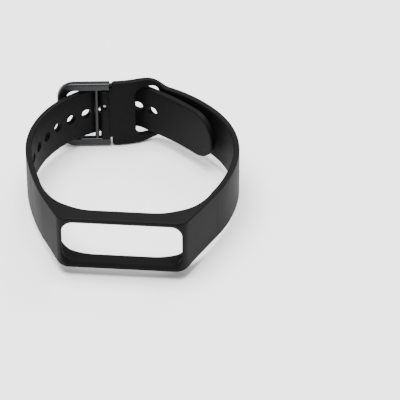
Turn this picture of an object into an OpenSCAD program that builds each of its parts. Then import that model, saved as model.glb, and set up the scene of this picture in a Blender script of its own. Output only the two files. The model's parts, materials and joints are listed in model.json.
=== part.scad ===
// Fitness tracker band: a closed wrist strap with a buckle, tongue and spring bar.
// Everything is laid out round the wrist loop, whose axis is Z, and then set on its lower edge.
// The tracker window faces -Y, the buckle is at +Y, and the arm with the holes is on the -X side.

/* [Wrist loop] */
// Size of the closed loop against the medium fit
loop_k = 1; // [0.95:0.01:1.2]
// Distance from the medium loop's centre to the front face of the tracker frame
front_reach = 34.5; // [33.5:0.5:36]
// Thickness of the strap
strap_t = 1.9; // [1.6:0.05:2.3]
// Width of both arms of the strap
arm_w = 17.4; // [14.5:0.1:21]
// How much narrower the tucked tail is than the arm
tail_taper = 0.8; // [0.4:0.1:2]

/* [Tracker frame] */
// Width of the frame's rim above and below the window
rim_w = 2.15; // [1.6:0.05:3]
// Depth of the frame from its front face to the wrist
frame_depth = 5; // [4.2:0.1:6.5]
// How much shorter the flat front face is than the window
face_step = 3.5; // [3:0.1:6]
// Radius of the frame's front corners
corner_r = 4; // [3:0.1:5]
// Length of the window opening
window_l = 36.5; // [33:0.5:37]
// Height of the window opening
window_w = 14.7; // [12:0.1:18]
// Corner radius of the window opening
window_r = 3.6; // [2:0.1:5]
// Thickness of the lip round the window
lip_t = 1.4; // [1.1:0.1:1.8]
// How far the tracker pocket is wider than the window, on each side
pocket_step = 0.6; // [0.3:0.1:0.9]
// Extra pocket length on each side behind the frame's front corners
pocket_end = 1.2; // [0:0.1:1.4]

/* [Holes and slot] */
// Diameter of the adjustment holes
hole_d = 3.3; // [2.8:0.1:4]
// Distance from one hole to the next, along the strap
hole_pitch = 5.9; // [5:0.1:7]
// Number of holes between the tongue and the tracker
holes_before = 6; // [3:1:6]
// Number of holes between the tongue and the tail's tip
holes_past = 3; // [1:1:3]
// Room between the tail and the slot's ends, on each side
slot_room = 1; // [0.5:0.1:1.2]
// Room between the tail and the slot's long edges
slot_clear = 0.45; // [0.3:0.05:0.9]
// Width of the rail on each side of the slot
rail_w = 2.95; // [2.4:0.05:3.6]
// Corner radius of the slot
slot_r = 2.5; // [1:0.1:3]

/* [Buckle] */
// Thickness of each buckle arm, along the loop's axis
cheek_t = 2.7; // [2.2:0.1:3.2]
// Depth of the buckle frame, from outside to wrist side
buckle_t = 2.2; // [1.9:0.1:2.6]
// Distance from the hinge to the outer edge of the closed end
buckle_l = 15.2; // [14.4:0.1:17]
// Width of the closed end
end_bar_w = 3; // [2:0.1:3.4]
// Outer corner radius of the closed end
buckle_r = 5.4; // [3.5:0.1:6]
// Gap between the strap and the buckle's closed end
bar_gap = 1.4; // [1.3:0.05:1.6]
// Diameter of the crossbar
crossbar_d = 1.35; // [1.1:0.05:1.5]
// Distance from the hinge to the crossbar
crossbar_at = 2.75; // [2.6:0.05:3]
// Gap between the strap's tab and each buckle arm
tab_gap = 0.3; // [0.2:0.05:0.5]

/* [Spring bar and tongue] */
// Outer diameter of the spring bar's tube
tube_d = 1.3; // [1.1:0.05:1.4]
// Inner diameter of the spring bar's tube
tube_bore = 0.9; // [0.8:0.02:0.94]
// Diameter of the tips that stand out of the tube
tip_d = 0.62; // [0.5:0.02:0.66]
// How far each tip reaches into its buckle arm
tip_reach = 1.2; // [0.9:0.05:1.4]
// Travel of the quick-release pin
release_travel = 1.4; // [1.4:0.05:1.6]
// Height of the release knob above the middle of the bar
knob_z = 4.2; // [4:0.1:5]
// Diameter of the release knob
knob_d = 0.9; // [0.7:0.05:1]
// Width of the tongue against the holes' diameter
tongue_k = 0.7; // [0.5:0.05:0.7]
// Thickness of the tongue
tongue_t = 1.1; // [0.9:0.05:1.2]
// Radial running clearance of every pin and eye
run_fit = 0.05; // [0.03:0.01:0.08]

/* [Hidden] */
$fn = 64;

// The frame's front face moves out with the loop
front_r = front_reach * loop_k;

// Largest turn between two points of a curved outline, degrees
fine = 4;
// Routes of the two arms: start [x, y, heading] and legs [radius, turn]; a negative turn bends outwards
short_start = [20.6 * loop_k, -26.3 * loop_k, 48];
short_legs = [[45, 37.5], [30, 46], [44, 28], [7.2, 48.5], [27.5, -22]];
long_start = [20.2 * loop_k, -30 * loop_k, 57];
long_legs = [[84, 20], [32, 60], [34, 33], [14, 11], [5, 32], [60, -4], [80, 18.3]];
// Where the frame's cheeks run into the short and the long arm
short_join = 12 * loop_k;
long_join = 18 * loop_k;
// Where each cheek's outside reaches its arm
short_cheek = 12 * loop_k;
long_cheek = 9 * loop_k;
// Leg of the long arm at which its narrower tail starts
tail_leg = 3;

// From the section's end to the hinge, and the radius of the rounded tab end
tab_l = 2.65;
section_past = 0.6;
tab_wall = 0.95;
tab_r = tube_d / 2 + tab_wall;
tail_w = arm_w - tail_taper;
slot_w = tail_w + 2 * slot_room;
section_w = slot_w + 2 * rail_w;
// Both buckle arms together stand this much inside the section's width
buckle_inset = 0.1;
cheek_gap = section_w - 2 * cheek_t - buckle_inset;
tab_w = cheek_gap - 2 * tab_gap;
// How far each end of the crossbar is let into its buckle arm
crossbar_seat = 1;
// The tail dives through the section at this angle, and the bend there makes its passage longer
dive = 43;
bend_k = 1.394;
slot_l = bend_k * (strap_t / sin(dive) + strap_t / tan(dive)) + 2 * slot_clear;
// Where the tail crosses the section, and where the slot round that place begins
cross_x = 1.65 * loop_k;
slot_x = cross_x - slot_l / 2;
// Centre of the section's round end, which keeps the rails' width at the slot's far corners
paddle_step = 6.98;
paddle_x = slot_x + slot_l - paddle_step;
fillet_r = 4;
frame_w = window_w + 2 * rim_w;
face_l = window_l - face_step;
pocket_l = window_l + 2 * pocket_step;
pocket_w = window_w + 2 * pocket_step;
back_y = frame_depth - front_r;
// Turn of the frame's front corners into its cheeks
corner_turn = 63;
// Wrist side of the frame: a flat middle, shorter than the face by this at each end, and then a curve
wrist_step = 7.5;
wrist_r = 17;
wrist_turn = 42;
wrist_start = [face_l / 2 - wrist_step, back_y, 0];
// Distance over which the frame narrows to the arms' width
taper_l = 7;

// Outlines: a station is [x, y, heading]
function turned(s, r, a) = let (k = sign(a))
    [s[0] + k * r * (sin(s[2] + a) - sin(s[2])), s[1] - k * r * (cos(s[2] + a) - cos(s[2])), s[2] + a];
function leg_points(s, r, a) = let (n = ceil(abs(a) / fine)) [for (j = [1:n]) turned(s, r, a * j / n)];
function run(s, legs, k = 1, i = 0) = i == len(legs) ? [] :
    concat(leg_points(s, legs[i][0] * k, legs[i][1]),
           run(turned(s, legs[i][0] * k, legs[i][1]), legs, k, i + 1));
function leg_length(leg, k) = leg[0] * k * abs(leg[1]) * PI / 180;
function station(s, legs, d, k = 1, i = 0) = let (l = leg_length(legs[i], k))
    d <= l || i == len(legs) - 1
    ? turned(s, legs[i][0] * k, sign(legs[i][1]) * d / (legs[i][0] * k) * 180 / PI)
    : station(turned(s, legs[i][0] * k, legs[i][1]), legs, d - l, k, i + 1);
function side(s, o) = [s[0] + o * sin(s[2]), s[1] - o * cos(s[2])];
function ahead(s, d) = [s[0] + d * cos(s[2]), s[1] + d * sin(s[2]), s[2]];
function outer(line, t) = [for (s = line) side(s, t / 2)];
function inner(line, t) = [for (i = [len(line) - 1:-1:0]) side(line[i], -t / 2)];
function band(line, t) = concat(outer(line, t), inner(line, t));
function first(list, n) = [for (i = [0:n - 1]) list[i]];
function head(s, legs, n) = concat([s], run(s, first(legs, n), loop_k));

wrist = concat([wrist_start], leg_points(wrist_start, wrist_r, wrist_turn));
short_line = concat([short_start], run(short_start, short_legs, loop_k));
long_line = concat([long_start], run(long_start, long_legs, loop_k));
short_end = short_line[len(short_line) - 1];
hinge = ahead(short_end, tab_l);
tail_from = len(head(long_start, long_legs, tail_leg)) - 1;
// The section is the last stretch of the short arm, the part behind the loop's middle
section_line = [for (s = short_line) if (s[1] > 20 * loop_k && s[0] < 15 * loop_k) s];
tail_line = [for (i = [tail_from:len(long_line) - 1]) long_line[i]];
tip = long_line[len(long_line) - 1];

// The tongue's hole is where the long arm passes nearest to the hinge
reach_list = [for (d = [60:0.1:90]) norm(side(on_long(d * loop_k), 0) - side(hinge, 0))];
used_at = (60 + 0.1 * search(min(reach_list), reach_list)[0]) * loop_k;
used_hole = on_long(used_at);
function on_long(d) = let (s = station(long_start, long_legs, d, loop_k)) [-s[0], s[1], 180 - s[2]];

// The buckle leans towards the wrist until its closed end lies bar_gap outside the long arm
bar_at = buckle_l - end_bar_w / 2;
bar_off = strap_t / 2 + bar_gap + buckle_t / 2;
bar_list = [for (d = [40:0.1:75]) abs(norm(side(on_long(d * loop_k), -bar_off) - side(hinge, 0)) - bar_at)];
bar_near = (40 + 0.1 * search(min(bar_list), bar_list)[0]) * loop_k;
bar_mid = side(on_long(bar_near), -bar_off) - side(hinge, 0);
buckle_lean = 180 + atan2(bar_mid[1], bar_mid[0]);

// Tongue: an eye round the bar, a rise through that hole, a bend, and a blade down to the closed end
tongue_w = tongue_k * hole_d;
eye_wall = 0.35;
eye_r = tube_d / 2 + run_fit + eye_wall;
bend_r = 1.4;
tongue_gap = 0.2;
// How far the rise stops short of the strap's outside, and how far the blade passes the bar's middle
rise_short = 0.3;
blade_past = 0.3;
tongue_foot = [hinge[0], hinge[1], atan2(used_hole[1] - hinge[1], used_hole[0] - hinge[0])];
tongue_knee = ahead(tongue_foot, min(reach_list) + strap_t / 2 - rise_short);
bend_mid = side(tongue_knee, -bend_r);
rest_foot = ahead([hinge[0], hinge[1], 180 + buckle_lean], bar_at);
rest = side(rest_foot, buckle_t / 2 + tongue_gap + tongue_t / 2);
to_rest = rest - bend_mid;
blade_turn = 360 + atan2(to_rest[1], to_rest[0]) + asin(bend_r / norm(to_rest)) - tongue_foot[2];
tongue_bent = turned(tongue_knee, bend_r, blade_turn);
blade_end = ahead(tongue_bent, sqrt(norm(to_rest) * norm(to_rest) - bend_r * bend_r) + blade_past);
tongue_line = concat([tongue_foot, tongue_knee], leg_points(tongue_knee, bend_r, blade_turn), [blade_end]);

// Middle of the whole object, so that it stands centred on its lower edge
right_x = max([for (p = outer(short_line, strap_t)) p[0]]);
left_x = max([for (p = outer(long_line, strap_t)) p[0]]);
mid_x = (right_x - left_x) / 2;
mid_y = (max([for (p = outer(long_line, strap_t)) p[1]]) - front_r) / 2;
module placed() translate([-mid_x, -mid_y, section_w / 2]) children();
module at_hinge() translate([hinge[0], hinge[1], 0]) children();
// A flat outline in x and z, made solid from y0 to y1
module slab_y(y0, y1) translate([0, y1, 0]) rotate([90, 0, 0]) linear_extrude(y1 - y0) children();

module rounded(l, w, r) {
    square([l - 2 * r, w], center = true);
    square([l, w - 2 * r], center = true);
    for (x = [-1, 1], y = [-1, 1]) translate([x * (l / 2 - r), y * (w / 2 - r)]) circle(r);
}

// Half of the frame's plan outline: the front corner, the cheek, the arm's end, and the wrist side
function half_frame(s, legs, join, cheek) =
    let (a = station(s, legs, join, loop_k), f = [face_l / 2, -front_r, 0], w = wrist[len(wrist) - 1],
         b = side(a, -strap_t / 2), d = b - side(w, 0), chord = norm(d), aim = atan2(d[1], d[0]) - w[2])
    concat([side(f, 0)], [for (p = leg_points(f, corner_r, corner_turn)) side(p, 0)],
           [for (e = [cheek:1.5:join - 0.1]) side(station(s, legs, e, loop_k), strap_t / 2)],
           [side(a, strap_t / 2), b],
           [for (i = [5:-1:1]) side(turned(w, chord / 2 / abs(sin(aim)), 2 * aim * i / 6), 0)],
           [for (i = [len(wrist) - 1:-1:0]) side(wrist[i], 0)]);
function flipped(list) = [for (i = [len(list) - 1:-1:0]) [-list[i][0], list[i][1]]];

module frame_block() {
    wide = face_l / 2;
    narrow = face_l / 2 + taper_l;
    far = narrow + long_join;
    intersection() {
        linear_extrude(frame_w, center = true)
            polygon(concat(half_frame(short_start, short_legs, short_join, short_cheek),
                           flipped(half_frame(long_start, long_legs, long_join, long_cheek))));
        slab_y(-front_r - 1, 0)
            polygon([[-far, arm_w / 2], [-narrow, arm_w / 2], [-wide, frame_w / 2],
                     [wide, frame_w / 2], [narrow, arm_w / 2], [far, arm_w / 2],
                     [far, -arm_w / 2], [narrow, -arm_w / 2], [wide, -frame_w / 2],
                     [-wide, -frame_w / 2], [-narrow, -arm_w / 2], [-far, -arm_w / 2]]);
    }
}

// Flat shape of the wide section: straight at the buckle, round at the far end, blended into the arm
module section_outline() {
    r = section_w / 2;
    reach = sqrt((r + fillet_r) * (r + fillet_r) - (arm_w / 2 + fillet_r) * (arm_w / 2 + fillet_r));
    share = r / (r + fillet_r);
    end_x = short_end[0] - section_past;
    translate([end_x, -r]) square([paddle_x - end_x, 2 * r]);
    translate([paddle_x, 0]) circle(r, $fn = 96);
    translate([paddle_x, -arm_w / 2]) square([reach + 2, arm_w]);
    for (k = [-1, 1]) difference() {
        translate([paddle_x + reach * share, k > 0 ? 0 : -(arm_w / 2 + fillet_r) * share])
            square([reach * (1 - share), (arm_w / 2 + fillet_r) * share]);
        translate([paddle_x + reach, k * (arm_w / 2 + fillet_r)]) circle(fillet_r);
    }
}

module section() {
    intersection() {
        linear_extrude(section_w, center = true)
            polygon(band(concat(section_line, [ahead(short_end, section_past)]), strap_t));
        slab_y(0, front_r * 2) section_outline();
    }
}

module short_arm() {
    difference() {
        union() {
            linear_extrude(arm_w, center = true) polygon(band(short_line, strap_t));
            section();
        }
        slab_y(0, front_r * 2) translate([slot_x + slot_l / 2, 0]) rounded(slot_l, slot_w, slot_r);
    }
    tab();
}

module tab() {
    linear_extrude(tab_w, center = true) polygon(band([short_end, hinge], strap_t));
    at_hinge() cylinder(r = tab_r, h = tab_w, center = true);
}

// Flat cutter that leaves the tail's tip half round
module tip_cutter() {
    translate([-tip[0], tip[1], 0]) rotate([0, 0, -tip[2]]) translate([tail_w / 2, 0, 0])
        difference() {
            translate([-tail_w - 1, -4, -arm_w]) cube([tail_w + 1, 8, 2 * arm_w]);
            rotate([90, 0, 0]) cylinder(d = tail_w, h = 10, center = true);
        }
}

module holes() {
    for (i = [-holes_before:holes_past]) {
        s = on_long(used_at + i * hole_pitch);
        translate([s[0], s[1], 0]) rotate([0, 0, s[2]]) rotate([90, 0, 0])
            cylinder(d = hole_d, h = strap_t + 1, center = true);
    }
}

module long_arm() {
    mirror([1, 0, 0]) linear_extrude(arm_w, center = true)
        polygon(band(first(long_line, tail_from + 1), strap_t));
    difference() {
        mirror([1, 0, 0]) linear_extrude(tail_w, center = true) polygon(band(tail_line, strap_t));
        tip_cutter();
    }
}

// Room beside the tongue and round its eye
notch_side = 0.25;
notch_room = 0.2;
// Room for the tongue's eye, open to the outside and the end of the tab but closed towards the wrist
module tongue_notch() {
    notch_w = tongue_w + 2 * notch_side;
    notch_r = eye_r + notch_room;
    at_hinge() {
        cylinder(r = notch_r, h = notch_w, center = true);
        translate([-tab_r - 1, 0, -notch_w / 2]) cube([tab_r + 1 + notch_r, tab_r + 1, notch_w]);
    }
}

module strap() color("#2b2b2d") placed() {
    difference() {
        union() {
            frame_block();
            short_arm();
            difference() {
                long_arm();
                holes();
            }
        }
        slab_y(-front_r - 1, 0) rounded(window_l, window_w, window_r);
        slab_y(lip_t - front_r, 0) rounded(pocket_l, pocket_w, window_r + pocket_step);
        slab_y(lip_t + 2 - front_r, 0) rounded(pocket_l + 2 * pocket_end, pocket_w, window_r + pocket_step);
        at_hinge() cylinder(d = tube_d + 2 * run_fit, h = tab_w + 1, center = true);
        tongue_notch();
        at_hinge() knob_slot(knob_d / 2 + 0.15, -tab_r - 1);
    }
}

// A slot along the bar for the knob, reaching from the bar's axis to y0
module knob_slot(r, y0) {
    slab_y(y0, 0) {
        translate([0, knob_z]) circle(r);
        translate([0, knob_z - release_travel]) circle(r);
        translate([-r, knob_z - release_travel]) square([2 * r, release_travel]);
    }
}

// Buckle outlines lie in the buckle's own plane: x away from the hinge, y along the bar
module buckle_plane() at_hinge() rotate([0, 0, buckle_lean]) rotate([90, 0, 0]) mirror([1, 0, 0])
    children();

module buckle_frame() color("#1b1c22") placed() {
    half = cheek_gap / 2 + cheek_t;
    end_r = buckle_t / 2 + 0.4;
    inner_r = buckle_r - cheek_t;
    difference() {
        intersection() {
            buckle_plane() linear_extrude(buckle_t, center = true) difference() {
                union() {
                    translate([-end_r, -half]) square([buckle_l + end_r - buckle_r, 2 * half]);
                    translate([buckle_l - 2 * buckle_r, -half + buckle_r])
                        square([2 * buckle_r, 2 * half - 2 * buckle_r]);
                    for (k = [-1, 1])
                        translate([buckle_l - buckle_r, k * (half - buckle_r)]) circle(buckle_r);
                }
                translate([-end_r - 1, -cheek_gap / 2])
                    square([buckle_l - end_bar_w + end_r + 1 - inner_r, cheek_gap]);
                translate([0, -cheek_gap / 2 + inner_r])
                    square([buckle_l - end_bar_w, cheek_gap - 2 * inner_r]);
                for (k = [-1, 1])
                    translate([buckle_l - end_bar_w - inner_r, k * (cheek_gap / 2 - inner_r)])
                        circle(inner_r);
            }
            union() {
                at_hinge() cylinder(r = end_r, h = 2 * half + 1, center = true);
                at_hinge() rotate([0, 0, buckle_lean]) translate([-buckle_l - 1, -buckle_t, -half - 1])
                    cube([buckle_l + 1, 2 * buckle_t, 2 * half + 2]);
            }
        }
        for (k = [-1, 1]) at_hinge() translate([0, 0, k * cheek_gap / 2])
            cylinder(d = tip_d + 2 * run_fit, h = 2 * (tip_reach + 0.3), center = true);
        crossbar_solid();
    }
}

module crossbar_solid() {
    at_hinge() rotate([0, 0, buckle_lean]) translate([-crossbar_at, 0, 0])
        cylinder(d = crossbar_d, h = cheek_gap + 2 * crossbar_seat, center = true);
}
module crossbar() color("#202126") placed() crossbar_solid();

module tongue() color("#3a3b40") placed() {
    difference() {
        union() {
            at_hinge() cylinder(r = eye_r, h = tongue_w, center = true);
            linear_extrude(tongue_w, center = true) polygon(band(tongue_line, tongue_t));
            translate([blade_end[0], blade_end[1], 0]) cylinder(d = tongue_t, h = tongue_w, center = true);
        }
        at_hinge() cylinder(d = tube_d + 2 * run_fit, h = tongue_w + 1, center = true);
    }
}

// Spring bar: a crimped tube, a fixed pin, a sliding pin with its release knob, and a coil spring
tube_l = cheek_gap - 0.2;
crimp_l = 0.5;
head_fixed = 3;
head_sliding = tube_l / 2 - crimp_l - knob_z + 1;
tip_l = crimp_l + 0.1 + tip_reach;
head_d = tube_bore - 0.06;
stem_d = 0.4;
stem_in = 0.15;

module bar_tube() color("#8d9096") placed() at_hinge() {
    difference() {
        cylinder(d = tube_d, h = tube_l, center = true);
        cylinder(d = tube_bore, h = tube_l - 2 * crimp_l, center = true);
        cylinder(d = tip_d + 2 * run_fit, h = tube_l + 1, center = true);
        knob_slot(stem_d / 2 + 0.05, -tube_d);
    }
}

// A pin whose head lies inside the tube's upper end and whose tip stands out of it
module end_pin(head_l) {
    top = tube_l / 2 - crimp_l;
    translate([0, 0, top - head_l]) cylinder(d = head_d, h = head_l);
    translate([0, 0, top - 0.5]) cylinder(d = tip_d, h = tip_l + 0.5);
}

module fixed_pin() color("#b4b6ba") placed() at_hinge() mirror([0, 0, 1]) end_pin(head_fixed);

module release_pin() color("#b4b6ba") placed() at_hinge() difference() {
    end_pin(head_sliding);
    slab_y(-tube_d, stem_in) translate([0, knob_z]) circle(d = stem_d);
}
module release_knob() color("#b4b6ba") placed() at_hinge() {
    slab_y(-tab_r + 0.2, stem_in) translate([0, knob_z]) circle(d = stem_d);
    slab_y(-tab_r - 0.35, -tab_r + 0.25) translate([0, knob_z]) circle(d = knob_d);
}

// Coil spring between the two heads: a ring of points swept along a helix
wire_d = 0.14;
coil_turns = 12;
ring_n = 6;
steps = coil_turns * 12;
spring_low = -tube_l / 2 + crimp_l + head_fixed + wire_d / 2 + 0.02;
spring_high = tube_l / 2 - crimp_l - head_sliding - wire_d / 2 - 0.02;
coil_r = tube_bore / 2 - wire_d / 2 - 0.05;
coil_ring = [for (i = [0:steps], j = [0:ring_n - 1])
    let (a = i * 360 * coil_turns / steps, b = j * 360 / ring_n, r = coil_r + wire_d / 2 * cos(b))
    [r * cos(a), r * sin(a), spring_low + (spring_high - spring_low) * i / steps + wire_d / 2 * sin(b)]];
coil_sides = [for (i = [0:steps - 1], j = [0:ring_n - 1])
    let (p = i * ring_n, q = p + ring_n, k = (j + 1) % ring_n) [p + j, p + k, q + k, q + j]];

module bar_spring() color("#c8cacd") placed() at_hinge()
    polyhedron(coil_ring, concat([[for (j = [0:ring_n - 1]) ring_n - 1 - j]], coil_sides,
                                 [[for (j = [0:ring_n - 1]) steps * ring_n + j]]));

strap();
buckle_frame();
crossbar();
tongue();
bar_tube();
fixed_pin();
release_pin();
release_knob();
bar_spring();
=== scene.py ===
"""Fitness tracker band: the looks of the silicone strap, the coated buckle and the spring bar."""
import json
import math

import bmesh
import bpy
from mathutils import Matrix, Vector


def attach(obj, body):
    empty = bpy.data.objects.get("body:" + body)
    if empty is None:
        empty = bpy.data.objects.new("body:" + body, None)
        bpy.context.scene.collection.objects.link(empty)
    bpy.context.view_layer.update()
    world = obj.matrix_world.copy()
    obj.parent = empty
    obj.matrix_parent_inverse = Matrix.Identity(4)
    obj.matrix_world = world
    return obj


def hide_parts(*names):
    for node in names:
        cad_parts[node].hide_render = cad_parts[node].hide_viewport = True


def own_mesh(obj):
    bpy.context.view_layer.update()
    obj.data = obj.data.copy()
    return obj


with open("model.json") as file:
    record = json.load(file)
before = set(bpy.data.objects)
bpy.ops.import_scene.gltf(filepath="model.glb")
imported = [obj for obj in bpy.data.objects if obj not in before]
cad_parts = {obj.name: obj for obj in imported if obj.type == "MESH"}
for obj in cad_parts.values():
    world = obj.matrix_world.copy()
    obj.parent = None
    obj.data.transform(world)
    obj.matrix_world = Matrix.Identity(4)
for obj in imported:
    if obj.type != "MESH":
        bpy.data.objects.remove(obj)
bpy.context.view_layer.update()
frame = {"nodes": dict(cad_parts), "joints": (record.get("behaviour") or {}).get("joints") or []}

# ---- Sizes, in millimetres; the loop is laid out as in the frame, round the wrist axis ----
STRAP_T = 1.9
ARM_W = 17.4
TAIL_W = 16.6
SECTION_W = 24.5
SLOT_X, SLOT_L, SLOT_W, SLOT_R = -2.162, 7.624, 18.6, 2.5
PADDLE_X = -1.518
FILLET_R = 4.0
HOLE_D, HOLE_PITCH, USED_HOLE = 3.3, 5.9, 74.2
HOLES_BEFORE, HOLES_PAST = 6, 3
FRONT_R, FRAME_DEPTH, FRAME_W = 34.5, 5.0, 19.0
FACE_L, CORNER_R = 33.0, 4.0
WINDOW_L, WINDOW_W, WINDOW_R = 36.5, 14.7, 3.6
LIP_T, POCKET_STEP, POCKET_END = 1.4, 0.6, 1.2
TAB_L, TAB_W, TAB_R = 2.65, 18.4, 1.6
SECTION_PAST = 0.6
TUBE_R, KNOB_R, KNOB_Z, TRAVEL = 0.65, 0.45, 4.2, 1.4
NOTCH_W, NOTCH_R = 2.81, 1.25
EDGE = 0.45
FRAME_EDGE = 0.5
SHORT_JOIN, LONG_JOIN, LONG_CHEEK = 12.0, 18.0, 9.0
# Front corners of the frame, and its wrist side: a flat middle and a curve after it
CORNER_TURN = 63
WRIST_STEP, WRIST_R, WRIST_TURN = 7.5, 17, 42
# How far the frame's ends run on inside the arms, and how much thinner they are there
BURIED_L, BURIED_T = 4, 0.3
# Hair's width by which the frame stands proud of the arms, so that the join has one clear surface
SEAM = 0.004
RUN_FIT = 0.05
KNOB_ROOM = 0.15
BUCKLE_EDGE = 0.55
PIN_HOLE_R, PIN_HOLE_L = 0.36, 1.5
TONGUE_EDGE = 0.3
RISE_SHORT, BLADE_PAST = 0.3, 0.3
HINGE_WALL = 0.4
BUCKLE_L, BUCKLE_T, BUCKLE_R, END_BAR_W = 15.2, 2.2, 5.4, 3.0
CHEEK_T, CHEEK_GAP = 2.7, 19.0
TONGUE_W, TONGUE_T, EYE_R, BEND_R, TONGUE_GAP = 2.31, 1.1, 1.05, 1.4, 0.2
BAR_GAP = 1.4
COIL_LOW, COIL_HIGH, COIL_R, WIRE_D, COIL_TURNS = -5.81, 3.11, 0.33, 0.14, 12


# ---- Routes of the two arms: a station is (x, y, heading in degrees) ----
def turned(s, r, a):
    """The station after a turn of a degrees on radius r; a negative turn bends outwards."""
    k = math.copysign(1, a)
    h, g = math.radians(s[2]), math.radians(s[2] + a)
    x = s[0] + k * r * (math.sin(g) - math.sin(h))
    y = s[1] - k * r * (math.cos(g) - math.cos(h))
    return x, y, s[2] + a


def side(s, o):
    """The point o to the outer side of a station."""
    h = math.radians(s[2])
    return s[0] + o * math.sin(h), s[1] - o * math.cos(h)


class Arm:
    """An arm's mid-line. hand is 1 for the short arm and -1 for the long one, which is mirrored."""

    def __init__(self, start, legs, hand):
        self.start, self.legs, self.hand = start, legs, hand
        self.length = sum(r * math.radians(abs(a)) for r, a in legs)

    def station(self, d):
        """The station at distance d, carried on straight past either end."""
        s = self.start
        if d < 0:
            h = math.radians(s[2])
            return s[0] + d * math.cos(h), s[1] + d * math.sin(h), s[2]
        for r, a in self.legs:
            length = r * math.radians(abs(a))
            if d <= length:
                return turned(s, r, math.copysign(math.degrees(d / r), a))
            s, d = turned(s, r, a), d - length
        h = math.radians(s[2])
        return s[0] + d * math.cos(h), s[1] + d * math.sin(h), s[2]

    def place(self, d, out, z):
        """The point d along the arm, out from its mid-line and z above the middle."""
        x, y = side(self.station(d), out)
        return Vector((self.hand * x, y, z))

    def along(self, x, low, high):
        """How far along the arm, between low and high, its mid-line reaches that x."""
        for _ in range(40):
            mid = (low + high) / 2
            low, high = (mid, high) if self.hand * self.station(mid)[0] > x else (low, mid)
        return low


SHORT = Arm((20.6, -26.3, 48), [(45, 37.5), (30, 46), (44, 28), (7.2, 48.5), (27.5, -22)], 1)
LONG = Arm((20.2, -30, 57), [(84, 20), (32, 60), (34, 33), (14, 11), (5, 32), (60, -4), (80, 18.3)], -1)
HINGE = SHORT.place(SHORT.length + TAB_L, 0, 0)
HINGE_AT = next(Vector(j["pos_m"]) for j in frame["joints"] if j["name"] == "buckle_hinge")
TO_FRAME = HINGE_AT * 1000 - HINGE


# ---- Making meshes ----
def arc(cx, cy, r, a0, a1, n=10):
    """Points of an arc from angle a0 to a1."""
    angles = [math.radians(a0 + (a1 - a0) * i / n) for i in range(n + 1)]
    return [(cx + r * math.cos(a), cy + r * math.sin(a)) for a in angles]


def rounded(cx, cy, l, w, r, n=8):
    """Points of a rounded rectangle."""
    x, y = l / 2 - r, w / 2 - r
    corners = [(cx + x, cy + y, 0), (cx - x, cy + y, 90), (cx - x, cy - y, 180), (cx + x, cy - y, 270)]
    return [p for px, py, a in corners for p in arc(px, py, r, a, a + 90, n)]


def plate(outlines, thick, edge, steps=3):
    """A flat plate with its outline and holes in XY and its edges rounded, centred on z 0."""
    curve = bpy.data.curves.new("plate", "CURVE")
    curve.dimensions, curve.fill_mode = "2D", "BOTH"
    curve.extrude, curve.bevel_depth, curve.bevel_resolution = thick / 2 - edge, edge, steps
    curve.offset = -edge
    for points in outlines:
        line = curve.splines.new("POLY")
        line.points.add(len(points) - 1)
        for point, (x, y) in zip(line.points, points):
            point.co = (x, y, 0, 1)
        line.use_cyclic_u = True
    holder = bpy.data.objects.new("plate", curve)
    bpy.context.scene.collection.objects.link(holder)
    bpy.context.view_layer.update()
    bm = bmesh.new()
    bm.from_mesh(holder.evaluated_get(bpy.context.evaluated_depsgraph_get()).to_mesh())
    bpy.data.objects.remove(holder)
    bmesh.ops.remove_doubles(bm, verts=bm.verts, dist=0.002)
    bmesh.ops.dissolve_degenerate(bm, edges=bm.edges, dist=0.001)
    return bm


def slice_along(bm, low, high, step):
    """Cuts a plate across its length so that it can bend."""
    for i in range(1, int((high - low) / step)):
        geom = bm.verts[:] + bm.edges[:] + bm.faces[:]
        bmesh.ops.bisect_plane(bm, geom=geom, dist=1e-5, plane_co=(low + i * step, 0, 0),
                               plane_no=(1, 0, 0))


def wrap(bm, arm):
    """Bends a plate along an arm: its x runs along, its y is the height and its z points out."""
    for v in bm.verts:
        v.co = arm.place(v.co.x, v.co.z, v.co.y)


def soften(bm, sharp):
    """Smooth faces, with edges sharper than that angle kept crisp."""
    for face in bm.faces:
        face.smooth = True
    for edge in bm.edges:
        edge.smooth = len(edge.link_faces) != 2 or edge.calc_face_angle(0) < math.radians(sharp)


def piece(name, bm, sharp=32):
    """Turns a bmesh in the loop's millimetres into an object in the frame's metres."""
    bmesh.ops.transform(bm, matrix=Matrix.Scale(0.001, 4) @ Matrix.Translation(TO_FRAME), verts=bm.verts)
    bmesh.ops.recalc_face_normals(bm, faces=bm.faces)
    soften(bm, sharp)
    mesh = bpy.data.meshes.new(name)
    bm.to_mesh(mesh)
    bm.free()
    made = bpy.data.objects.new(name, mesh)
    bpy.context.scene.collection.objects.link(made)
    return made


def combine(target, other, how):
    """Joins another piece to the target or cuts it away, and removes it."""
    change = target.modifiers.new(how, "BOOLEAN")
    change.operation, change.solver, change.object = how, "EXACT", other
    bpy.context.view_layer.update()
    mesh = bpy.data.meshes.new_from_object(target.evaluated_get(bpy.context.evaluated_depsgraph_get()))
    target.modifiers.clear()
    target.data = mesh
    bpy.data.objects.remove(other)


def cylinder(r, z0, z1, edge=0.0, n=48, centre=(0, 0)):
    """A cylinder along z, with rounded rims where edge is given."""
    bm = bmesh.new()
    bmesh.ops.create_cone(bm, cap_ends=True, segments=n, radius1=r, radius2=r, depth=z1 - z0)
    if edge:
        rims = [e for e in bm.edges if abs(e.verts[0].co.z - e.verts[1].co.z) < 1e-6]
        bmesh.ops.bevel(bm, geom=rims, offset=edge, segments=3, profile=0.5, affect="EDGES", material=-1)
    bmesh.ops.translate(bm, verts=bm.verts, vec=(centre[0], centre[1], (z0 + z1) / 2))
    return bm


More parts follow.
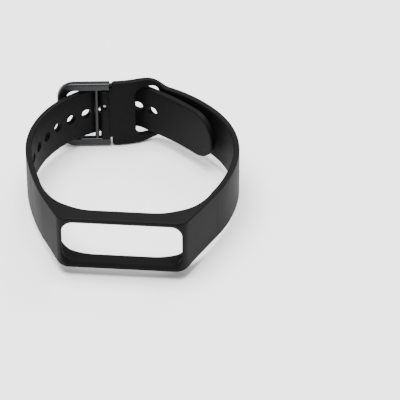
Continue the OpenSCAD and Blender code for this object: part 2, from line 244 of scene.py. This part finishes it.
def lathe(profile, n=48):
    """Turns a profile of (radius, height) pairs, which starts and ends on the axis, round z."""
    bm = bmesh.new()
    verts = [bm.verts.new((r, 0, z)) for r, z in profile]
    edges = [bm.edges.new(pair) for pair in zip(verts, verts[1:])]
    bmesh.ops.spin(bm, geom=verts + edges, cent=(0, 0, 0), axis=(0, 0, 1), angle=math.tau, steps=n,
                   use_merge=True)
    bmesh.ops.remove_doubles(bm, verts=bm.verts, dist=1e-5)
    return bm


def box(low, high):
    """A cutter between two corners."""
    bm = bmesh.new()
    bmesh.ops.create_cube(bm, size=1)
    size = Vector(high) - Vector(low)
    bmesh.ops.scale(bm, verts=bm.verts, vec=size)
    bmesh.ops.translate(bm, verts=bm.verts, vec=Vector(low) + size / 2)
    return bm


def turn_to_y(bm):
    """Stands a plate made in XY up so that its second direction is z and its thickness lies along y."""
    bmesh.ops.rotate(bm, verts=bm.verts, matrix=Matrix.Rotation(math.radians(90), 3, "X"))


# ---- The strap ----
def long_arm():
    """The arm with the adjustment holes, narrower and round-ended at its tail."""
    tip = LONG.length
    tail = sum(r * math.radians(abs(a)) for r, a in LONG.legs[:3])
    a, t = ARM_W / 2, TAIL_W / 2
    start = LONG_JOIN - 2
    outline = [(start, -a), (tail - 4, -a), (tail, -t)]
    outline += arc(tip - t, 0, t, -90, 90, 32)
    outline += [(tail, t), (tail - 4, a), (start, a)]
    bm = plate([outline], STRAP_T, EDGE)
    slice_along(bm, start, tip, 1.0)
    wrap(bm, LONG)
    arm = piece("long_arm", bm)
    for i in range(-HOLES_BEFORE, HOLES_PAST + 1):
        combine(arm, hole_cutter(USED_HOLE + i * HOLE_PITCH), "DIFFERENCE")
    return arm


def hole_cutter(d):
    """A round cutter with a small flare where it meets the strap's faces."""
    r, h, flare = HOLE_D / 2, STRAP_T / 2, 0.12
    profile = [(0, -h - 1), (r + flare + 1, -h - 1), (r + flare, -h), (r, -h + flare),
               (r, h - flare), (r + flare, h), (r + flare + 1, h + 1), (0, h + 1)]
    bm = lathe(profile, 32)
    x, y, heading = LONG.station(d)
    stand = Matrix.Rotation(math.radians(90), 4, "X")
    face = Matrix.Rotation(math.radians(180 - heading), 4, "Z")
    bmesh.ops.transform(bm, matrix=Matrix.Translation((-x, y, 0)) @ face @ stand, verts=bm.verts)
    return piece("hole_cutter", bm)


def short_arm():
    """The short arm with the wide section, its slot, and the narrower tab."""
    r, a = SECTION_W / 2, ARM_W / 2
    end, start = SHORT.length + SECTION_PAST, SHORT_JOIN - 2

    def at(x):
        return SHORT.along(x, SHORT.length - 25, SHORT.length + 1)

    reach = math.sqrt((r + FILLET_R) ** 2 - (a + FILLET_R) ** 2)
    meet = math.degrees(math.atan2(a + FILLET_R, reach))
    upper = [(at(x), z) for x, z in arc(PADDLE_X + reach, a + FILLET_R, FILLET_R, 270, 180 + meet, 8)]
    upper += [(at(x), z) for x, z in arc(PADDLE_X, 0, r, meet, 90, 14)]
    corner = arc(end - 1, r - 1, 1, 90, 0, 5)
    tab = [(end, TAB_W / 2), (SHORT.length + TAB_L, TAB_W / 2)]
    half = [(start, a)] + upper + corner + tab
    outline = half + [(x, -z) for x, z in reversed(half)]
    slot = [(at(x), z) for x, z in rounded(SLOT_X + SLOT_L / 2, 0, SLOT_L, SLOT_W, SLOT_R)]
    bm = plate([outline, slot], STRAP_T, EDGE)
    slice_along(bm, start, SHORT.length + TAB_L, 1.0)
    wrap(bm, SHORT)
    return piece("short_arm", bm)


def tab_roll():
    """The tab's round end, which holds the spring bar."""
    return piece("tab_roll", cylinder(TAB_R, -TAB_W / 2, TAB_W / 2, 0.35, 48, (HINGE.x, HINGE.y)))


def frame_outline():
    """Plan of the tracker frame, from the front's middle round both cheeks to the wrist side."""
    def half(arm, join, cheek):
        s, out = arm.station(join), STRAP_T / 2 + SEAM
        front = (FACE_L / 2, -FRONT_R, 0)
        wrist = (FACE_L / 2 - WRIST_STEP, FRAME_DEPTH - FRONT_R, 0)
        corner = [turned(front, CORNER_R, CORNER_TURN * i / 12)[:2] for i in range(13)]
        reach = Vector(side(arm.station(cheek), out))
        straight = [Vector(corner[-1]).lerp(reach, i / 4)[:] for i in (1, 2, 3)]
        outside = [reach[:]]
        if join > cheek:
            outside = [side(arm.station(cheek + (join - cheek) * i / 8), out) for i in range(9)]
        buried = [side(arm.station(join + BURIED_L), k * (STRAP_T / 2 - BURIED_T)) for k in (1, -1)]
        joint = [side(s, -out)]
        bend = turned(wrist, WRIST_R, WRIST_TURN)
        span = Vector(side(s, -out)) - Vector(bend[:2])
        aim = math.degrees(math.atan2(span.y, span.x)) - bend[2]
        r = span.length / 2 / math.sin(math.radians(aim))
        blend = [turned(bend, r, 2 * aim * i / 10)[:2] for i in range(9, 0, -1)]
        inside = [turned(wrist, WRIST_R, WRIST_TURN * i / 12)[:2] for i in range(12, -1, -1)]
        return corner + straight + outside + buried + joint + blend + inside

    right = half(SHORT, SHORT_JOIN, SHORT_JOIN)
    left = half(LONG, LONG_JOIN, LONG_CHEEK)
    return right + [(-x, y) for x, y in reversed(left)]


def tracker_frame():
    """The frame block, which narrows towards both arms and ends a little inside them."""
    bm = plate([frame_outline()], FRAME_W, FRAME_EDGE, 4)
    slice_along(bm, -30, 30, 1.5)
    for v in bm.verts:
        slope = min(1, max(0, (abs(v.co.x) - FACE_L / 2 + 1) / 8))
        ease = slope * slope * (3 - 2 * slope)
        v.co.z *= 1 + ease * ((ARM_W / 2 + SEAM) / (FRAME_W / 2) - 1)
        v.co.z *= 1 - 0.03 * min(1, max(0, (abs(v.co.x) - 28.3) / 1.2))
    return piece("tracker_frame", bm)


def window_cutter():
    """The window with its flared front edge, and the tracker's pocket behind the lip."""
    bm = bmesh.new()
    step, end = 2 * POCKET_STEP, 2 * (POCKET_STEP + POCKET_END)
    # Each ring: depth behind the front face, and what it adds to the window's length, width and radius
    rings = [(-1.4, 10.4, 5.6, 2.6),
             (0.75, 0.3, 0.3, 0.1),
             (1.0, 0, 0, 0),
             (LIP_T, 0, 0, 0),
             (LIP_T + 0.01, step, step, POCKET_STEP),
             (LIP_T + 2, step, step, POCKET_STEP),
             (LIP_T + 2.6, end, step, POCKET_STEP),
             (FRAME_DEPTH + 6, end, step, POCKET_STEP)]
    loops = []
    for depth, l, w, r in rings:
        points = rounded(0, 0, WINDOW_L + l, WINDOW_W + w, WINDOW_R + r, 10)
        verts = [bm.verts.new((px, depth - FRONT_R, pz)) for px, pz in points]
        loops.append([bm.edges.new((verts[i - 1], verts[i])) for i in range(len(verts))])
    for one, two in zip(loops, loops[1:]):
        bmesh.ops.bridge_loops(bm, edges=one + two)
    bmesh.ops.contextual_create(bm, geom=loops[0])
    bmesh.ops.contextual_create(bm, geom=loops[-1])
    return piece("window_cutter", bm)


def tab_cutters():
    """The bar's bore, the tongue's notch and the knob's slot."""
    x, y = HINGE.x, HINGE.y
    yield piece("bore", cylinder(TUBE_R + RUN_FIT, -12, 12, 0, 48, (x, y)))
    yield piece("notch", cylinder(NOTCH_R, -NOTCH_W / 2, NOTCH_W / 2, 0, 48, (x, y)))
    yield piece("notch_mouth", box((x - 4, y, -NOTCH_W / 2), (x + NOTCH_R - 0.01, y + 4, NOTCH_W / 2)))
    slot_r = KNOB_R + KNOB_ROOM
    outline = arc(0, KNOB_Z, slot_r, 0, 180, 12) + arc(0, KNOB_Z - TRAVEL, slot_r, 180, 360, 12)
    bm = plate([outline], 4, 0.01, 0)
    turn_to_y(bm)
    bmesh.ops.translate(bm, verts=bm.verts, vec=(x, y - 2.01, 0))
    yield piece("knob_slot", bm)


def strap():
    """The whole moulding: frame, short arm with its tab, and long arm."""
    body = tracker_frame()
    combine(body, window_cutter(), "DIFFERENCE")
    arm = short_arm()
    combine(arm, tab_roll(), "UNION")
    for cutter in tab_cutters():
        combine(arm, cutter, "DIFFERENCE")
    combine(body, arm, "UNION")
    combine(body, long_arm(), "UNION")
    body.name = "strap_silicone"
    tidy(body)
    return body


def tidy(thing):
    """Closes the hairline steps where moulded parts meet, and sets smooth and sharp edges again."""
    bm = bmesh.new()
    bm.from_mesh(thing.data)
    bmesh.ops.remove_doubles(bm, verts=bm.verts, dist=0.00003)
    bmesh.ops.dissolve_degenerate(bm, edges=bm.edges, dist=0.00001)
    soften(bm, 32)
    bm.to_mesh(thing.data)
    bm.free()


# ---- The buckle and its tongue ----
def bar_lean():
    """The buckle's lean towards the wrist that leaves BAR_GAP between its closed end and the strap."""
    out, reach = STRAP_T / 2 + BAR_GAP + BUCKLE_T / 2, BUCKLE_L - END_BAR_W / 2
    spots = [LONG.place(40 + i * 0.1, out, 0) - HINGE for i in range(351)]
    best = min(spots, key=lambda p: abs(p.length - reach))
    if best.y > 0:
        return 180 + math.degrees(math.atan2(best.y, best.x))
    return math.degrees(math.atan2(-best.y, -best.x))


def buckle_frame():
    """The U-shaped frame: two arms with holes for the bar's tips, and the closed end."""
    half, end = CHEEK_GAP / 2 + CHEEK_T, BUCKLE_T / 2 + HINGE_WALL
    inner_r, inner_x = BUCKLE_R - CHEEK_T, BUCKLE_L - END_BAR_W
    outer = arc(BUCKLE_L - BUCKLE_R, half - BUCKLE_R, BUCKLE_R, 90, 0, 12)
    inner = arc(inner_x - inner_r, CHEEK_GAP / 2 - inner_r, inner_r, 0, 90, 10)
    upper = [(-end, CHEEK_GAP / 2), (-end, half)] + outer
    outline = upper + [(x, -y) for x, y in reversed(upper)] + [(x, -y) for x, y in reversed(inner)] + inner
    bm = plate([outline], BUCKLE_T, BUCKLE_EDGE, 4)
    bmesh.ops.scale(bm, verts=bm.verts, vec=(-1, 1, 1))
    turn_to_y(bm)
    lean = Matrix.Translation(HINGE) @ Matrix.Rotation(math.radians(bar_lean()), 4, "Z")
    bmesh.ops.transform(bm, matrix=lean, verts=bm.verts)
    made = piece("buckle_frame_coated", bm)
    for k in (-1, 1):
        z = k * CHEEK_GAP / 2
        hole = cylinder(PIN_HOLE_R, z - PIN_HOLE_L, z + PIN_HOLE_L, 0, 32, (HINGE.x, HINGE.y))
        combine(made, piece("pin_hole", hole), "DIFFERENCE")
    return made


def tongue():
    """An eye round the bar, a rise through the used hole, a bend, and a blade to the closed end."""
    used = LONG.place(USED_HOLE, 0, 0) - HINGE
    foot = (HINGE.x, HINGE.y, math.degrees(math.atan2(used.y, used.x)))
    rise = used.length + STRAP_T / 2 - RISE_SHORT
    up = Vector((math.cos(math.radians(foot[2])), math.sin(math.radians(foot[2])), 0))
    knee = (*(HINGE + up * rise)[:2], foot[2])
    mid = Vector((*side(knee, -BEND_R), 0))
    lean = math.radians(180 + bar_lean())
    ahead, out = Vector((math.cos(lean), math.sin(lean), 0)), Vector((math.sin(lean), -math.cos(lean), 0))
    rest = HINGE + ahead * (BUCKLE_L - END_BAR_W / 2) + out * (BUCKLE_T / 2 + TONGUE_GAP + TONGUE_T / 2)
    to_rest = rest - mid
    heading = 360 + math.degrees(math.atan2(to_rest.y, to_rest.x) + math.asin(BEND_R / to_rest.length))
    bend = [turned(knee, BEND_R, (heading - foot[2]) * i / 16) for i in range(17)]
    run = math.sqrt(to_rest.length_squared - BEND_R ** 2) + BLADE_PAST
    last = bend[-1]
    h = math.radians(last[2])
    line = [foot] + bend + [(last[0] + run * math.cos(h), last[1] + run * math.sin(h), last[2])]
    half, end = TONGUE_T / 2, line[-1]
    cap = [turned((*side(end, half), end[2]), half, 180 * i / 10)[:2] for i in range(1, 10)]
    outline = [side(s, half) for s in line] + cap + [side(s, -half) for s in reversed(line)]
    made = piece("tongue_polished", plate([outline], TONGUE_W, TONGUE_EDGE, 3))
    eye = cylinder(EYE_R, -TONGUE_W / 2, TONGUE_W / 2, 0.2, 48, (HINGE.x, HINGE.y))
    combine(made, piece("eye", eye), "UNION")
    bore = cylinder(TUBE_R + RUN_FIT, -3, 3, 0, 48, (HINGE.x, HINGE.y))
    combine(made, piece("eye_bore", bore), "DIFFERENCE")
    return made


# ---- The spring inside the bar ----
def coil_spring():
    """A wire ring spun up the bar, closed at both ends."""
    steps = COIL_TURNS * 16
    bm = bmesh.new()
    stand = Matrix.Translation((COIL_R, 0, COIL_LOW)) @ Matrix.Rotation(math.radians(90), 4, "X")
    bmesh.ops.create_circle(bm, cap_ends=False, segments=8, radius=WIRE_D / 2, matrix=stand)
    bmesh.ops.spin(bm, geom=bm.verts[:] + bm.edges[:], cent=(0, 0, 0), axis=(0, 0, 1),
                   dvec=(0, 0, (COIL_HIGH - COIL_LOW) / steps), angle=COIL_TURNS * math.tau, steps=steps)
    bmesh.ops.holes_fill(bm, edges=[e for e in bm.edges if e.is_boundary])
    bmesh.ops.translate(bm, verts=bm.verts, vec=HINGE)
    return piece("bar_spring_steel", bm)


# ---- Shader maths ----
class Node:
    """Wraps a material's node tree: any node by its type, its settings and its inputs."""

    def __init__(self, name):
        self.material = bpy.data.materials.new(name)
        self.material.use_nodes = True
        self.tree = self.material.node_tree
        self.shader = self.tree.nodes["Principled BSDF"]

    def add(self, kind, settings=None, out=0, **inputs):
        """A node by its type, with its settings and inputs; i0 is the first input."""
        node = self.tree.nodes.new("ShaderNode" + kind)
        for key, value in (settings or {}).items():
            setattr(node, key, value)
        for key, value in inputs.items():
            socket = node.inputs[int(key[1:])] if key[1:].isdigit() else node.inputs[key]
            self.feed(socket, value)
        return Wire(self, node.outputs[out])

    def feed(self, socket, value):
        """Links a value into a socket, or sets it there."""
        if isinstance(value, Wire):
            self.tree.links.new(value.socket, socket)
        else:
            socket.default_value = value


class Wire:
    """A value in a material, with sums on it adding Math nodes."""

    def __init__(self, home, socket):
        self.home, self.socket = home, socket

    def math(self, operation, one, two):
        """One Math node on two values."""
        return self.home.add("Math", {"operation": operation}, i0=one, i1=two)

    def __add__(self, other):
        return self.math("ADD", self, other)

    def __radd__(self, other):
        return self.math("ADD", other, self)

    def __sub__(self, other):
        return self.math("SUBTRACT", self, other)

    def __rsub__(self, other):
        return self.math("SUBTRACT", other, self)

    def __mul__(self, other):
        return self.math("MULTIPLY", self, other)

    def __rmul__(self, other):
        return self.math("MULTIPLY", other, self)


def surface(name, dark, light, rough, rough_spread, grain, bump, metal=0.0, settings=None):
    """A finish whose colour, roughness and bump vary with a fine grain and a broad mottling."""
    m = Node(name)
    place = m.add("TexCoord", out=3)
    broad = m.add("TexNoise", i0=place, Scale=90.0, Detail=3.0)
    fine = m.add("TexNoise", i0=place, Scale=grain, Detail=4.0, Roughness=0.6)
    mix = broad * 0.6 + fine * 0.4
    m.feed(m.shader.inputs["Base Color"],
           m.add("Mix", {"data_type": "RGBA"}, out=2, i0=mix, i6=(*dark, 1), i7=(*light, 1)))
    m.feed(m.shader.inputs["Roughness"], rough + (mix - 0.5) * rough_spread)
    m.feed(m.shader.inputs["Normal"],
           m.add("Bump", Height=fine, Strength=bump, Distance=0.00004))
    m.shader.inputs["Metallic"].default_value = metal
    for key, value in (settings or {}).items():
        m.shader.inputs[key].default_value = value
    return m.material


SILICONE = surface("soft_touch_silicone", dark=(0.0030, 0.0030, 0.0031), light=(0.0050, 0.0050, 0.0052),
                   rough=0.55, rough_spread=0.12, grain=4200.0, bump=0.35,
                   settings={"Specular IOR Level": 0.06})
COATED = surface("satin_black_coat", dark=(0.0030, 0.0033, 0.0044), light=(0.0052, 0.0055, 0.0070),
                 rough=0.3, rough_spread=0.14, grain=2600.0, bump=0.15,
                 metal=0.1,
                 settings={"Specular IOR Level": 0.3, "Coat Weight": 0.08, "Coat Roughness": 0.2})
GUNMETAL = surface("polished_gunmetal", dark=(0.05, 0.05, 0.055), light=(0.075, 0.075, 0.08),
                   rough=0.25, rough_spread=0.1, grain=3000.0, bump=0.1,
                   metal=0.9)
STEEL = surface("bright_pin_steel", dark=(0.16, 0.16, 0.17), light=(0.24, 0.24, 0.25),
                rough=0.35, rough_spread=0.15, grain=3500.0, bump=0.15,
                metal=1.0)


def dress(thing, material):
    """Gives a piece its one finish."""
    thing.data.materials.clear()
    thing.data.materials.append(material)


band = strap()
dress(band, SILICONE)
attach(band, "band")
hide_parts("strap")

for thing, material, body, node, slot in ((buckle_frame(), COATED, "buckle", "buckle_frame", "black_metal"),
                                          (tongue(), GUNMETAL, "tongue", "tongue", "gunmetal")):
    tidy(thing)
    dress(thing, material)
    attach(thing, body)
    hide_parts(node)

spring = coil_spring()
dress(spring, STEEL)
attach(spring, "band")
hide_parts("bar_spring")
low_end = (HINGE + TO_FRAME + Vector((0, 0, COIL_LOW - WIRE_D / 2))) / 1000
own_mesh(spring)

dress(frame["nodes"]["crossbar"], COATED)
for node in ("bar_tube", "fixed_pin", "release_pin", "release_knob"):
    dress(frame["nodes"][node], STEEL)


# ---- Floor, light and camera ----
def studio():
    """A plain pale floor under an even white surround."""
    bm = bmesh.new()
    bmesh.ops.create_grid(bm, x_segments=1, y_segments=1, size=3)
    mesh = bpy.data.meshes.new("floor")
    bm.to_mesh(mesh)
    bm.free()
    floor = bpy.data.objects.new("floor", mesh)
    bpy.context.scene.collection.objects.link(floor)
    floor.location.z = -0.0004
    paper = Node("white_paper")
    paper.shader.inputs["Base Color"].default_value = (0.95, 0.95, 0.95, 1)
    paper.shader.inputs["Roughness"].default_value = 0.9
    paper.shader.inputs["Specular IOR Level"].default_value = 0.1
    floor.data.materials.append(paper.material)
    world = bpy.data.worlds.new("studio")
    bpy.context.scene.world = world
    world.use_nodes = True
    world.node_tree.nodes["Background"].inputs["Color"].default_value = (1, 1, 1, 1)
    world.node_tree.nodes["Background"].inputs["Strength"].default_value = 0.8


def lamp(name, place, size, watts):
    """A soft round lamp that faces the middle of the floor."""
    light = bpy.data.lights.new(name, "AREA")
    light.shape, light.size, light.energy = "DISK", size, watts
    holder = bpy.data.objects.new(name, light)
    bpy.context.scene.collection.objects.link(holder)
    holder.location = place
    holder.rotation_mode = "QUATERNION"
    holder.rotation_quaternion = (-Vector(place)).to_track_quat("-Z", "Y")


def camera():
    """The main view, from above the front and a little to the right."""
    turn, rise, far = math.radians(4.4), math.radians(39), 0.9
    centre = TO_FRAME / 1000
    back = Vector((math.sin(turn) * math.cos(rise), -math.cos(turn) * math.cos(rise), math.sin(rise)))
    facing = (-back).to_track_quat("-Z", "Y")
    data = bpy.data.cameras.new("camera")
    data.lens, data.sensor_width = 261, 36
    data.clip_start, data.clip_end = 0.01, 20
    holder = bpy.data.objects.new("camera", data)
    bpy.context.scene.collection.objects.link(holder)
    holder.rotation_mode = "QUATERNION"
    holder.rotation_quaternion = facing
    holder.location = centre + back * far + facing @ Vector((0.021, -0.0078, 0))
    bpy.context.scene.camera = holder


studio()
lamp("key", (-0.12, -0.05, 1.0), 0.8, 28)
lamp("back", (0.3, 0.6, 0.7), 0.6, 5)
camera()
